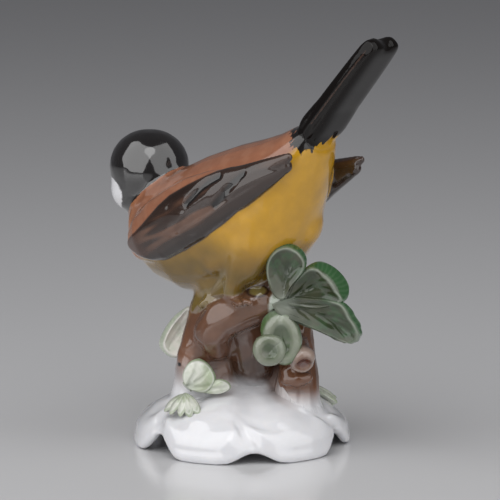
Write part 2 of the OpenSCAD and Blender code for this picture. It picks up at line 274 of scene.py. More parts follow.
def gap_to(node, points, reach=7.0):
    """How far each point is from a CAD node's surface, or reach if it is further."""
    bm = merged_copy(node)
    tree = BVHTree.FromBMesh(bm)
    corners = np.array([v.co for v in bm.verts])
    bm.free()
    gaps = np.full(len(points), reach)
    near = ((points > corners.min(0) - reach) & (points < corners.max(0) + reach)).all(axis=1)
    for i in np.flatnonzero(near):
        found = tree.find_nearest(points[i], reach)
        if found[3] is not None:
            gaps[i] = found[3]
    return gaps


def along_path(points, path):
    """For each point: how far along a path it is, how far from the path, and its angle round the path."""
    best = np.full(len(points), 1e9)
    travel = np.zeros(len(points))
    angle = np.zeros(len(points))
    done = 0.0
    side = np.array((0.0, 1.0, 0.0))
    for a, b in zip(path, path[1:]):
        a, b = np.array(a[:3], float), np.array(b[:3], float)
        way = b - a
        length = np.linalg.norm(way)
        way /= length
        side = side - way * (side @ way)
        side /= np.linalg.norm(side)
        other = np.cross(way, side)
        s = np.clip((points - a) @ way, 0, length)
        off = points - a - s[:, None] * way
        gap = np.linalg.norm(off, axis=1)
        closer = gap < best
        best[closer] = gap[closer]
        travel[closer] = done + s[closer]
        angle[closer] = np.arctan2(off @ other, off @ side)[closer]
        done += length
    return travel, best, angle


def flutes(points, path, count, twist, seed):
    """Soft grooves that run along a limb and wander round it, between -1 and 1."""
    travel, _, angle = along_path(points, path)
    wander = 0.6 * waves(points, 16.0, seed) + twist * travel
    broad = np.cos(count * angle + wander * count)
    fine = np.cos((count * 2 + 1) * angle - wander * count * 1.3)
    return 0.7 * broad + 0.3 * fine


def srgb(*levels):
    """A colour as a painter reads it, 0 to 255, turned into the renderer's own light."""
    share = np.array(levels) / 255
    return np.where(share <= 0.04045, share / 12.92, ((share + 0.055) / 1.055) ** 2.4)


def mix(paint, colour, share):
    """Lays a colour over the paint, as strongly as share says at each point."""
    share = np.clip(share, 0, 1)[:, None]
    return paint * (1 - share) + np.asarray(colour) * share


# ---------------------------------------------------------------- the bird's and the stump's own coordinates

TAIL = (
    BIRD
    @ Matrix.Translation((-30.6, 0, 25.4))
    @ Matrix.Rotation(math.pi, 4, "Z")
    @ Matrix.Rotation(math.radians(-50), 4, "Y")
)
RIGHT_WING_TIP = np.array((-32.8, -12.8, 14.0))
LEFT_WING_TIP = np.array((-28.4, 13.4, 17.1))
RIGHT_WING_LIFT = math.radians(5)

STUMP_PATH = [(-4.5, 3, 8), (-5.2, 3.5, 22), (-2.6, 4.2, 36), (-0.4, 3.8, 48), (0.5, 3, 58)]
SIDE_PATH = [(15.6, -7.4, 8), (15.8, -6.8, 18), (15.2, -5.4, 30), (11.6, -2.4, 42), (6.5, 1.2, 53)]
PERCH_PATH = [
    (-3.5, -1.0, 27.5), (-7.6, -7.0, 29.8), (-8.2, -9.8, 33.4), (-5.6, -11.2, 37.2), (-0.8, -11.8, 40.0),
    (4.4, -11.6, 42.0), (8.8, -11.0, 43.0), (12.0, -10.0, 43.5)
]


def wing_coordinates(bird, side):
    """Places in a wing's own plane: along it, across it and out of it. 1 is the left wing, -1 the right."""
    if side < 0:
        back = np.array(Matrix.Rotation(RIGHT_WING_LIFT, 3, "Y"))
        bird = (bird - RIGHT_WING_TIP) @ back.T + LEFT_WING_TIP
        bird = bird * (1, -1, 1) + (0, 2 * LEFT_WING_TIP[1], 0)
    off = bird - WING_SHOULDER
    return off @ WING_ALONG, off @ WING_ACROSS, off[:, 1]


def inside_wing(places, side):
    """How far a point lies inside the painted outline of a wing, in millimetres."""
    u, v, _ = wing_coordinates(places.bird, side)
    lower = np.interp(u, *zip(*WING_LOWER))
    upper = np.interp(u, *zip(*WING_UPPER))
    solid = places.own("wing_left" if side > 0 else "wing_right") + 0.2
    return np.minimum.reduce([solid, v - lower, upper - v])


def line_gap(u, v, line):
    """Distance from places in a plane to a line of points, and how far along the line they are, 0 to 1."""
    best = np.full(len(u), 1e9)
    share = np.zeros(len(u))
    for i, (a, b) in enumerate(zip(line, line[1:])):
        a, b = np.array(a, float), np.array(b, float)
        way = b - a
        s = np.clip(((u - a[0]) * way[0] + (v - a[1]) * way[1]) / (way @ way), 0, 1)
        gap = np.hypot(u - a[0] - s * way[0], v - a[1] - s * way[1])
        closer = gap < best
        best[closer] = gap[closer]
        share[closer] = ((i + s) / (len(line) - 1))[closer]
    return best, share


# The outline of a folded wing: (along, across) from the shoulder to the tip
WING_LOWER = [
    (0, 1.5), (2, -1.0), (5, -4.2), (8, -6.6), (12, -8.4), (18, -9.2), (26, -8.9), (34, -7.9), (42, -6.8),
    (50, -5.6), (58, -4.2), (64, -2.8)
]
WING_UPPER = [
    (0, 1.5), (3, 1.9), (8, 2.6), (12, 3.5), (16, 4.7), (20, 6.0), (25, 7.1), (33, 7.4), (42, 7.2),
    (50, 6.6), (60, 5)
]
FEATHER_CUTS = [
    [(30.7, 2.1), (35.7, 3.7), (39.7, 4.8), (43.0, 4.8)],
    [(39.0, -1.7), (42.8, -0.3), (46.3, 1.7), (50.0, 2.6)],
]
FEATHER_LINES = [
    [(14, -6.5), (28, -5.4), (44, -3.8), (60, -1.0)],
    [(20, -3.0), (32, -2.6), (46, -1.6), (60, -0.2)],
    [(44, 1.0), (52, 0.9), (61, 0.4)],
]


# ---------------------------------------------------------------- the skin's form

def thigh_and_toes(bm):
    """Forms that the slip takes on over the cast pieces: thighs, toes and claws."""
    for side in (1, -1):
        add_beads(bm, BIRD, [
            (4.5, side * 8.2, -14.6, 2.0), (0.0, side * 10.6, -12.6, 3.6), (-5.5, side * 12.0, -10.4, 4.6),
            (-10.5, side * 12.4, -8.0, 4.0), (-13.5, side * 12.2, -6.6, 3.0)
        ])
        add_beads(bm, BIRD, [
            (-14.0, side * 13.0, -9.0, 3.4), (-12.3, side * 12.5, -15.0, 2.8), (-9.6, side * 11.2, -20.8, 2.3)
        ])
        add_beads(bm, BIRD, [
            (3.0, side * 12.0, -15.4, 1.5), (-1.5, side * 12.9, -13.6, 2.4), (-6.5, side * 13.9, -10.8, 1.7)
        ])
        for toe in (-20, 4, 28):
            turn = math.radians(toe + 168)
            out = Vector((math.cos(turn), side * math.sin(turn), 0))
            knuckle = Vector((-9.4, side * 10.8, -21.4)) + out * 4
            tip = knuckle + out * 4 + Vector((0, 0, 0.2))
            add_beads(bm, BIRD, [(-9.4, side * 10.8, -21.2, 1.7), (*knuckle, 1.3), (*tip, 0.9)])
    # The vent bulges a little beside the right thigh
    add_beads(bm, BIRD, [(-17.6, -4.0, 5.5, 9.6), (-19.2, -4.6, -0.5, 8.8), (-13.0, -5.6, -8.0, 8.4)])
    # The left foot's front toe lies along the branch
    add_beads(bm, Matrix(), [(-2.2, -13.6, 43.8, 1.6), (1.2, -14.4, 44.6, 1.35), (5.0, -14.6, 45.6, 1.0)])


def head_forms(bm):
    """Full cheeks, and a nape that runs into the back."""
    for side in (1, -1):
        add_beads(bm, HEAD, [
            (0.0, side * 0.8, 1.0, 10.7), (0.0, 0.0, 0.0, 10.9), (0.5, side * 4.2, -5.2, 6.9)
        ])


def bark_forms(bm):
    """The cut end of a branch beside the toes, and the bark that closes the stump to the side trunk."""
    for path in (
        [(1.0, -8.4, 44.6, 3.0), (4.6, -11.2, 48.2, 3.1), (5.6, -12.0, 49.2, 2.7)],
        [(6.0, -1.5, 17.0, 5.0), (7.0, -1.5, 30.0, 4.4), (6.0, -0.5, 40.0, 4.0)],
        [
            (-6.4, -3.0, 46.0, 6.0), (-9.9, -3.0, 35.4, 5.8), (-12.4, -3.0, 24.2, 6.3),
            (-13.0, -3.0, 14.0, 7.0)
        ],
        [(2.6, -4.0, 42.0, 6.5), (3.2, -4.6, 30.0, 7.0), (3.2, -4.2, 23.5, 6.2)],
        [(-6.6, -5.0, 47.5, 6.6), (-3.0, -5.5, 50.0, 7.4), (2.5, -6.5, 52.0, 6.4)],
        [(12.2, -12.2, 20.2, 1.4), (15.0, -13.2, 20.4, 1.9), (18.4, -13.0, 21.4, 1.5)],
    ):
        add_beads(bm, Matrix(), path)


def fused_skin():
    bm = bmesh.new()
    for node in SKIN_NODES:
        copy = merged_copy(node)
        part = mesh_of(copy, node)
        bm.from_mesh(part)
        bpy.data.meshes.remove(part)
    # The passage from the mound up into the stump is stopped, so that the hollows above it stay closed
    add_beads(bm, Matrix(), [(-0.5, 0.5, 18.5, 3.0), (-0.5, 0.5, 20.0, 3.0)])
    thigh_and_toes(bm)
    head_forms(bm)
    bark_forms(bm)
    mesh = remeshed(mesh_of(bm, "skin_source"), GRAIN, "skin")
    return Skin(keep_largest(mesh))


class Places:
    """Where the skin's points are, in each frame that the relief and the paint are drawn in."""

    def __init__(self, points):
        self.foot = points
        self.bird = in_frame(points, BIRD)
        self.head = in_frame(points, HEAD)
        self.tail = in_frame(points, TAIL)
        self.gaps = {node: gap_to(node, points) for node in SKIN_NODES}
        stack = np.stack([self.gaps[n] for n in SKIN_NODES])
        order = np.argsort(stack, axis=0)
        self.label = order[0]
        self.stack = stack

    def own(self, *nodes):
        """How far inside these nodes a point of the skin lies, in millimetres, and below 0 outside them."""
        rows = [SKIN_NODES.index(n) for n in nodes]
        others = [i for i in range(len(SKIN_NODES)) if i not in rows]
        return self.stack[others].min(0) - self.stack[rows].min(0)


def mound_relief(places):
    """A rolled rim round each lobe of the foot, which curls up beside the fold over each arch."""
    x, y, z = places.foot.T
    radius = np.hypot(x, y)
    share = radius / FOOT_R
    angle = np.degrees(np.arctan2(x, -y))
    # The folds lean to one side as they climb away from the rim
    fold = (angle - LOBE_TURN + 55 * np.maximum(0.95 - share, 0) + 180) % LOBE_STEP
    to_fold = np.minimum(fold, LOBE_STEP - fold)
    hook = np.where(fold > LOBE_STEP / 2, 1.0, 0.55)
    arc = np.radians(to_fold) * radius
    crest = 29.4 - 5.6 * np.clip(1 - to_fold / 26, 0, 1) ** 2.5
    behind_rim = hook * bump(radius, crest - 4.2, 3.2) * (1 - ramp(to_fold, 12, 26))
    roll = 0.5 * bump(radius, crest, 2.6) - 0.3 * behind_rim
    valley = -0.6 * bump(arc, 0.0, 3.4) * ramp(share, 0.70, 0.92)
    relief = (roll * ramp(arc, 0.5, 3.0) + valley) * ramp(z, 3.0, 5.5) * ramp(share, 0.5, 0.7)
    return relief * ramp(places.own("base_mound"), 0.5, 2.0)


def bark_relief(places):
    foot = places.foot
    bark = ramp(places.own(*BARK_NODES), 0.0, 1.2)
    stump = flutes(foot, STUMP_PATH, 7, 0.015, 3)
    side = flutes(foot, SIDE_PATH, 5, 0.02, 5)
    perch = flutes(foot, PERCH_PATH, 4, 0.05, 8)
    which_side = ramp(places.own("side_trunk"), -0.4, 0.6)
    which_perch = ramp(places.own("perch_branch"), -0.4, 0.6)
    relief = stump * (1 - which_side) * (1 - which_perch) + side * which_side + perch * which_perch
    from_hollow = np.linalg.norm((foot - (3.5, -6.5, 25.0)) / (1.0, 0.9, 1.8), axis=1)
    calm = 1 - 0.85 * ramp(9.0 - from_hollow, -1.0, 2.0)
    relief = 0.24 * relief * calm + 0.2 * waves(foot, 10.0, 21, (1, 1, 1.6))
    return relief * bark


def wing_relief(places):
    relief = np.zeros(len(places.foot))
    for side, node in ((1, "wing_left"), (-1, "wing_right")):
        u, v, out = wing_coordinates(places.bird, side)
        mask = ramp(places.own(node), 0.1, 0.9) * ramp(out, -2.0, 0.5)
        cuts = np.zeros(len(u))
        for line in FEATHER_CUTS:
            gap, share = line_gap(u, v, line)
            width = 0.5 + 1.3 * np.sin(np.clip(share, 0, 1) * math.pi * 0.8 + 0.25) ** 2
            cuts += 0.62 * bump(gap, 0, width + 0.5)
        for line in FEATHER_LINES:
            gap, share = line_gap(u, v, line)
            cuts += 0.26 * bump(gap, 0, 1.1)
        raised = 0.4 * ramp(inside_wing(places, side), 0.0, 0.9)
        ripple = 0.12 * waves(np.stack([u / 7, v, out * 0], axis=1), 3.2, 31)
        # The covert feathers end in a soft scalloped step across the wing
        step = 26 + 3.0 * np.cos(v * 0.9)
        swell = 0.45 * (1 - ramp(u, step - 1.2, step + 1.2)) * bump(v, -1.0, 9.0)
        relief += mask * (raised + ripple + swell - cuts)
    return relief


def tail_squareness(places):
    """Pushes the oval tail out towards a flat strip with upright sides."""
    x, y, z = places.tail.T
    half_width = np.interp(x, [4, 28, 33, 36], [7.2, 7.0, 6.7, 4.8])
    half_depth = np.interp(x, [4, 12, 20, 28, 33, 36], [3.6, 2.6, 2.1, 1.8, 1.6, 0.8])
    a = np.abs(y) / half_width
    b = np.abs(z) / half_depth
    round_size = (a**2 + b**2) ** 0.5 + 1e-6
    square_size = (a**5 + b**5) ** 0.2 + 1e-6
    gain = np.clip(round_size / square_size, 1, 1.4)
    share = ramp(x, -1.0, 5.0) * ramp(places.own("tail"), -0.5, 1.0)
    new = places.tail.copy()
    thicker = np.interp(x, [4, 12, 20, 28, 33, 36], [1.1, 1.25, 1.45, 1.6, 1.7, 1.9])
    new[:, 1] *= 1 + (gain - 1) * share
    new[:, 2] *= 1 + (gain * thicker - 1) * share
    matrix = np.array(TAIL)
    return new @ matrix[:3, :3].T + matrix[:3, 3]


def tail_relief(places):
    x, y, z = places.tail.T
    mask = ramp(places.own("tail"), 0.0, 1.0) * ramp(x, -2, 3)
    edge = ramp(np.abs(y), 5.6, 6.6)
    lines = sum(bump(z, level, 0.8) for level in (-0.9, 1.1))
    shafts = sum(bump(y, level, 0.5) for level in (-3.4, 0.2, 3.6)) * ramp(z, 0.2, 0.8)
    notch = ramp(x, 33.5, 35.5) * bump(y, 0.5, 3.4)
    return mask * (-0.16 * lines * edge - 0.2 * shafts - 0.8 * notch)


def sculpt(skin):
    """Smooths the joined pieces as slip and glaze do, and draws the relief into them."""
    skin.smooth(4)
    places = Places(skin.points)
    skin.smooth(36, 0.5, ramp(places.own("bird_head"), 0.5, 3.0))
    in_hollow = np.linalg.norm((places.foot - (3.0, -9.0, 26.0)) / (1.0, 1.2, 1.5), axis=1)
    skin.smooth(60, 0.5, ramp(-in_hollow, -10.5, -7.0))
    skin.points = tail_squareness(places)
    keep = np.abs(np.maximum(inside_wing(places, 1), inside_wing(places, -1)))
    fill = 0.75 * ramp(keep, 0.2, 3.0) + 0.12
    fill *= 1 - 0.8 * ramp(places.own("tail"), -0.5, 1.5)
    skin.fill_creases(26, fill)
    skin.smooth(5)
    relief = mound_relief(places) + bark_relief(places) + wing_relief(places) + tail_relief(places)
    skin.push(relief)
    skin.smooth(2)
    return places


# ---------------------------------------------------------------- the painting

CHINA = srgb(229, 229, 232)
TERRACOTTA = srgb(152, 100, 74)
SHOULDER = srgb(172, 108, 58)
OCHRE = srgb(200, 150, 30)
OLIVE = srgb(98, 78, 26)
WING_BROWN = srgb(52, 37, 30)
WING_STREAK = srgb(116, 82, 64)
BLACK = srgb(20, 17, 16)
SOOT = srgb(34, 22, 16)
BARK = srgb(112, 74, 52)
BARK_DARK = srgb(56, 36, 26)
BARK_PINK_HIGHLIGHT = srgb(138, 98, 76)
MOSS = srgb(120, 94, 40)
STEM = srgb(176, 188, 170)
LIGHT_OCHRE = srgb(168, 124, 34)
BACK_LIGHT = srgb(168, 120, 94)
WING_ROOT = srgb(82, 46, 28)
LEG = srgb(118, 98, 44)
HOLLOW_SHADE = srgb(58, 42, 34)
PERCH = srgb(104, 72, 56)
CUT_WOOD = srgb(126, 112, 62)
STUB_END = srgb(92, 42, 24)
STUB_RIM_HIGHLIGHT = srgb(196, 182, 172)
TAIL_BROWN = srgb(66, 50, 43)


def paint_figure(skin, places):
    """The colours under the glaze, and how far each point lies inside the black and the bare white."""
    foot, bird, head, tail = places.foot, places.bird, places.head, places.tail
    soft = waves(foot, 14.0, 51)
    fine = waves(foot, 4.0, 52)
    u, v, _ = wing_coordinates(bird, 1)
    paint = np.tile(CHINA, (skin.count, 1))

    # Bird: terracotta back, ochre belly that turns olive towards the legs
    is_bird = ramp(places.own(*BIRD_NODES), -0.3, 0.6)
    plumage = np.tile(OCHRE, (skin.count, 1))
    low = ramp(-bird[:, 2] - 0.3 * np.abs(bird[:, 0] + 6), -2.0, 10.0)
    plumage = mix(plumage, OLIVE, low * 0.9 + 0.08 * soft)
    plumage = mix(plumage, LIGHT_OCHRE, 0.35 * ramp(soft, 0.0, 0.8))
    edge = -4 + 6 * ramp(u, 40, 60)
    under_tail = ramp(-tail[:, 2], 0.5, 2.5) * ramp(tail[:, 0], -14, -8)
    on_back = ramp(v - edge + 0.6 * fine, -1.2, 1.2) * (1 - under_tail)
    plumage = mix(plumage, TERRACOTTA, on_back)
    plumage = mix(plumage, SHOULDER, on_back * ramp(-u, -9, 2) * 0.9)
    plumage = mix(plumage, BACK_LIGHT, on_back * 0.35 * ramp(fine, -0.2, 0.8))

    # Wings: dark brown with lighter streaks that run towards the tip
    for side in (1, -1):
        wu, wv, _ = wing_coordinates(bird, side)
        inside = inside_wing(places, side)
        coat = np.tile(WING_BROWN, (skin.count, 1))
        streak = waves(np.stack([wu / 9, wv, wv * 0], axis=1), 3.4, 71)
        band = bump(wv, -0.5, 7.0) * ramp(wu, 5, 14) * (1 - 0.6 * ramp(wu, 34, 48))
        coat = mix(coat, WING_STREAK, band * ramp(streak, 0.05, 0.6) * 0.85)
        coat = mix(coat, WING_ROOT, ramp(-wu, -12, -3) * 0.75)
        cut = np.zeros(skin.count)
        for line in FEATHER_CUTS:
            gap, _ = line_gap(wu, wv, line)
            cut = np.maximum(cut, bump(gap, 0, 1.5))
        rim = ramp(-wv + np.interp(wu, [0, 14, 30, 45, 64], [-3, -6, -5.2, -4.2, -1.2]), -0.6, 0.8)
        top = bump(wv, 6.0, 2.4) * ramp(wu, 7, 11) * (1 - ramp(wu, 32, 38))
        coat = mix(coat, SOOT, np.maximum.reduce([cut, rim * 0.85, top * 0.8]))
        coat = mix(coat, BLACK, ramp(cut, 0.3, 0.8))
        plumage = mix(plumage, coat, ramp(inside, 0.05, 0.45))
    paint = mix(paint, plumage, is_bird)

    # Legs: olive brown
    legs = places.own("leg_left", "leg_right")
    from_shank = np.hypot(bird[:, 0] + 10.4, np.abs(bird[:, 1]) - 11.2)
    shank = ramp(-bird[:, 2], 11.5, 14.5) * ramp(bird[:, 2], -24.0, -22.5) * ramp(4.2 - from_shank, 0, 1.2)
    paint = mix(paint, LEG, np.maximum(ramp(legs, -0.6, 0.4), shank) * 0.85)

    # Bark: brown, with pinkish patches that are painted highlights, painted shade in its grooves and in the
    # hollow, mossy under the bird, fading to white at the mound
    in_bark = places.own(*BARK_NODES)
    near_bark = np.maximum(ramp(in_bark, -4.5, -1.5), ramp(foot[:, 2], 16, 17))
    is_bark = np.maximum(ramp(in_bark, -0.5, 0.5), near_bark * ramp(-foot[:, 2], -30, -26))
    bark = np.tile(BARK, (skin.count, 1))
    # Painted highlight: pinkish patches laid at random over the bark
    bark = mix(bark, BARK_PINK_HIGHLIGHT, 0.6 * ramp(waves(foot, 11.0, 61, (1, 1, 3)), 0.0, 0.8))
    # Painted shade: the low parts of the bark's flutes are darkened
    grooves = ramp(-flutes(foot, STUMP_PATH, 7, 0.015, 3), 0.2, 0.9)
    bark = mix(bark, BARK_DARK, 0.4 * grooves)
    # Painted shade: the stump's hollow is darkened
    hollow = ramp(7.5 - np.linalg.norm((foot - (2.6, -7.5, 25.0)) / (1.0, 0.9, 1.7), axis=1), -1.0, 2.5)
    bark = mix(bark, HOLLOW_SHADE, 0.85 * hollow)
    off_perch = 1 - 0.7 * ramp(places.own("perch_branch"), -0.5, 1)
    bark = mix(bark, MOSS, 0.75 * ramp(foot[:, 2] + 2.5 * soft, 31, 45) * off_perch)
    bark = mix(bark, PERCH, 0.6 * ramp(places.own("perch_branch"), -0.3, 1.0))
    fade_top = 21.0 + 6.0 * ramp(-foot[:, 0], 7, 13)
    fade = ramp(foot[:, 2] + 0.8 * soft + 2.6 * ramp(foot[:, 0], 6, 10), 14.5, fade_top)
    bark = mix(np.tile(CHINA, (skin.count, 1)), bark, fade)
    cut_end = np.linalg.norm((foot - (4.4, -15.6, 46.2)) / (3.0, 4.0, 1.5), axis=1)
    bark = mix(bark, BARK_DARK, bump(cut_end, 1.0, 0.3))
    bark = mix(bark, CUT_WOOD, ramp(-cut_end, -0.9, -0.7))
    # The stub's cut end: a reddish centre, and a painted highlight round its rim
    from_end = np.linalg.norm(foot - (16.6, -15.6, 27.0), axis=1)
    on_end = ramp(places.own("branch_stub"), -0.5, 0.5)
    bark = mix(bark, STUB_END, on_end * ramp(-from_end, -2.6, -2.0))
    bark = mix(bark, STUB_RIM_HIGHLIGHT, 0.5 * on_end * bump(from_end, 3.6, 0.7))
    paint = mix(paint, bark, is_bark)
    near_stem = ramp(3.0 - places.gaps["leaf_stem"], 0, 1)
    paint = mix(paint, STEM, ramp(places.own("leaf_stem"), -0.6, 0.6) * near_stem)

    # Black: head, tail with brushed strokes at its root, and the painted shade of a pinhole in the bark
    strokes = waves(np.stack([tail[:, 0] / 9, tail[:, 1], tail[:, 2]], axis=1), 1.5, 81)
    root = np.where(tail[:, 2] < 0.5, np.clip(2.2 + 0.6 * tail[:, 1], -2.5, 4.0), -1.6)
    ink_tail = np.minimum(tail[:, 0] - root + 1.6 * strokes, 11 - np.hypot(tail[:, 1], tail[:, 2]))
    paint = mix(paint, TAIL_BROWN, ramp(places.own("tail"), 0.0, 1.0) * ramp(tail[:, 0], 2, 4))
    stripes = sum(bump(tail[:, 2], level, 0.5) for level in (-2.0, -0.2, 1.6))
    stripes *= ramp(np.abs(tail[:, 1]), 5.8, 6.6) * ramp(tail[:, 0], 3, 6)
    ink_tail = np.minimum(ink_tail, 1.2 - 1.5 * stripes)
    ink_head = places.own("bird_head") - 0.05
    ink = np.maximum(ink_tail, ink_head)
    # Painted shade: a pinhole in the bark is drawn as a small black mark
    pinhole_shade = 0.6 - np.linalg.norm((foot - (-17.4, -6.0, 23.6)) / (1, 5, 1), axis=1)
    ink = np.maximum(ink, pinhole_shade)

    # Bare white: a cheek on each side of the head
    turn = np.degrees(np.arctan2(np.abs(head[:, 1]), head[:, 0]))
    cheek = 1 - np.hypot((turn - 79) / 44, (head[:, 2] + 6.2) / 5.0)
    bare = np.where(places.own("bird_head") > -0.5, cheek * 5.0, -5.0)
    return paint, ink, bare


def store(mesh, name, values):
    """Keeps a number or a colour for each point, for the material to read."""
    if values.ndim == 1:
        layer = mesh.attributes.new(name, "FLOAT", "POINT")
        layer.data.foreach_set("value", values.astype(np.float32))
    else:
        layer = mesh.attributes.new(name, "FLOAT_COLOR", "POINT")
        colours = np.concatenate([values, np.ones((len(values), 1))], axis=1)
        layer.data.foreach_set("color", colours.astype(np.float32).ravel())


# ---------------------------------------------------------------- the glazes

def node_of(tree, kind, **settings):
    node = tree.nodes.new(kind)
    for key, value in settings.items():
        setattr(node, key, value)
    return node


def attribute(tree, name):
    return node_of(tree, "ShaderNodeAttribute", attribute_name=name)


def noise_at(tree, scale, detail):
    """Noise on the piece's own coordinates; scale is waves per metre."""
    place = node_of(tree, "ShaderNodeTexCoord")
    noise = node_of(tree, "ShaderNodeTexNoise")
    noise.inputs["Scale"].default_value = scale
    noise.inputs["Detail"].default_value = detail
    tree.links.new(place.outputs["Object"], noise.inputs["Vector"])
    return noise.outputs["Fac"]


def math_node(tree, operation, a, b=0.0):
    node = node_of(tree, "ShaderNodeMath", operation=operation)
    for socket, value in zip(node.inputs, (a, b)):
        if isinstance(value, (int, float)):
            socket.default_value = value
        else:
            tree.links.new(value, socket)
    return node.outputs[0]


def range_node(tree, value, low, high, to_low=0.0, to_high=1.0):
    node = node_of(tree, "ShaderNodeMapRange", interpolation_type="SMOOTHSTEP")
    tree.links.new(value, node.inputs["Value"])
    node.inputs["From Min"].default_value = low
    node.inputs["From Max"].default_value = high
    node.inputs["To Min"].default_value = to_low
    node.inputs["To Max"].default_value = to_high
    return node.outputs[0]


def mix_colours(tree, share, a, b):
    node = node_of(tree, "ShaderNodeMix", data_type="RGBA")
    sockets = [s for s in node.inputs if s.enabled]
    for socket, value in zip(sockets, (share, a, b)):
        if isinstance(value, (int, float)):
            socket.default_value = value
        elif isinstance(value, np.ndarray):
            socket.default_value = (*[float(c) for c in value], 1.0)
        else:
            tree.links.new(value, socket)
    return [s for s in node.outputs if s.enabled][0]


def glaze(name, roughness=0.15, depth=0.0, speckle=0.06, coat=1.0, coat_ior=1.6, ior=1.5, inked=True):
    """Painted porcelain under clear glaze: brushed colours, edges of the black, and a soft orange peel."""
    material = bpy.data.materials.new(name)
    material.use_nodes = True
    tree = material.node_tree
    shader = tree.nodes["Principled BSDF"]
    colour = attribute(tree, "paint").outputs["Color"]
    cloud = noise_at(tree, 260.0, 4.0)
    darker = range_node(tree, cloud, 0.3, 0.75, 1 - speckle * 2, 1 + speckle)
    tone = node_of(tree, "ShaderNodeHueSaturation")
    tree.links.new(colour, tone.inputs["Color"])
    tree.links.new(darker, tone.inputs["Value"])
    colour = tone.outputs["Color"]
    brush = noise_at(tree, 900.0, 3.0)
    wobble = math_node(tree, "MULTIPLY", math_node(tree, "SUBTRACT", brush, 0.5), 0.9)
    if inked:
        ink = math_node(tree, "ADD", attribute(tree, "ink").outputs["Fac"], wobble)
        colour = mix_colours(tree, range_node(tree, ink, -0.25, 0.25), colour, BLACK)
        bare = math_node(tree, "ADD", attribute(tree, "bare").outputs["Fac"], wobble)
        colour = mix_colours(tree, range_node(tree, bare, -0.2, 0.3), colour, CHINA)
    tree.links.new(colour, shader.inputs["Base Color"])
    shader.inputs["Roughness"].default_value = roughness
    shader.inputs["IOR"].default_value = ior
    shader.inputs["Coat Weight"].default_value = coat
    shader.inputs["Coat Roughness"].default_value = 0.02
    shader.inputs["Coat IOR"].default_value = coat_ior
    if depth:
        shader.inputs["Subsurface Weight"].default_value = depth
        shader.inputs["Subsurface Radius"].default_value = (1.0, 0.9, 0.8)
        shader.inputs["Subsurface Scale"].default_value = 0.0015
    peel = node_of(tree, "ShaderNodeBump")
    peel.inputs["Strength"].default_value = 0.12
    peel.inputs["Distance"].default_value = 0.00001
    tree.links.new(noise_at(tree, 420.0, 2.0), peel.inputs["Height"])
    tree.links.new(peel.outputs["Normal"], shader.inputs["Coat Normal"])
    return material


# ---------------------------------------------------------------- hand-formed leaves

LEAF_SIDES = 44
LEAF_SCALLOPS = 15
LEAF_RIBS = 26
LEAF_DARK = srgb(50, 62, 38)
LEAF_GREY_REFLECTION = srgb(80, 82, 62)
LEAF_BRIGHT = srgb(54, 98, 56)
LEAF_PALE = srgb(128, 154, 124)
LEAF_WHITE = srgb(170, 178, 164)
VEIN = srgb(52, 62, 48)


def closed_curve(rows, share):
    """Values on a smooth closed curve through rows, at a share of the way round."""
    rows = np.array(rows, float)
    n = len(rows)
    at = (share % 1.0) * n
    i = np.floor(at).astype(int) % n
    t = (at - np.floor(at))[:, None]
    p0, p1, p2, p3 = (rows[(i + k) % n] for k in (-1, 0, 1, 2))
    square = 2 * p0 - 5 * p1 + 4 * p2 - p3
    cube = 3 * p1 - p0 - 3 * p2 + p3
    return 0.5 * (2 * p1 + (p2 - p0) * t + square * t**2 + cube * t**3)


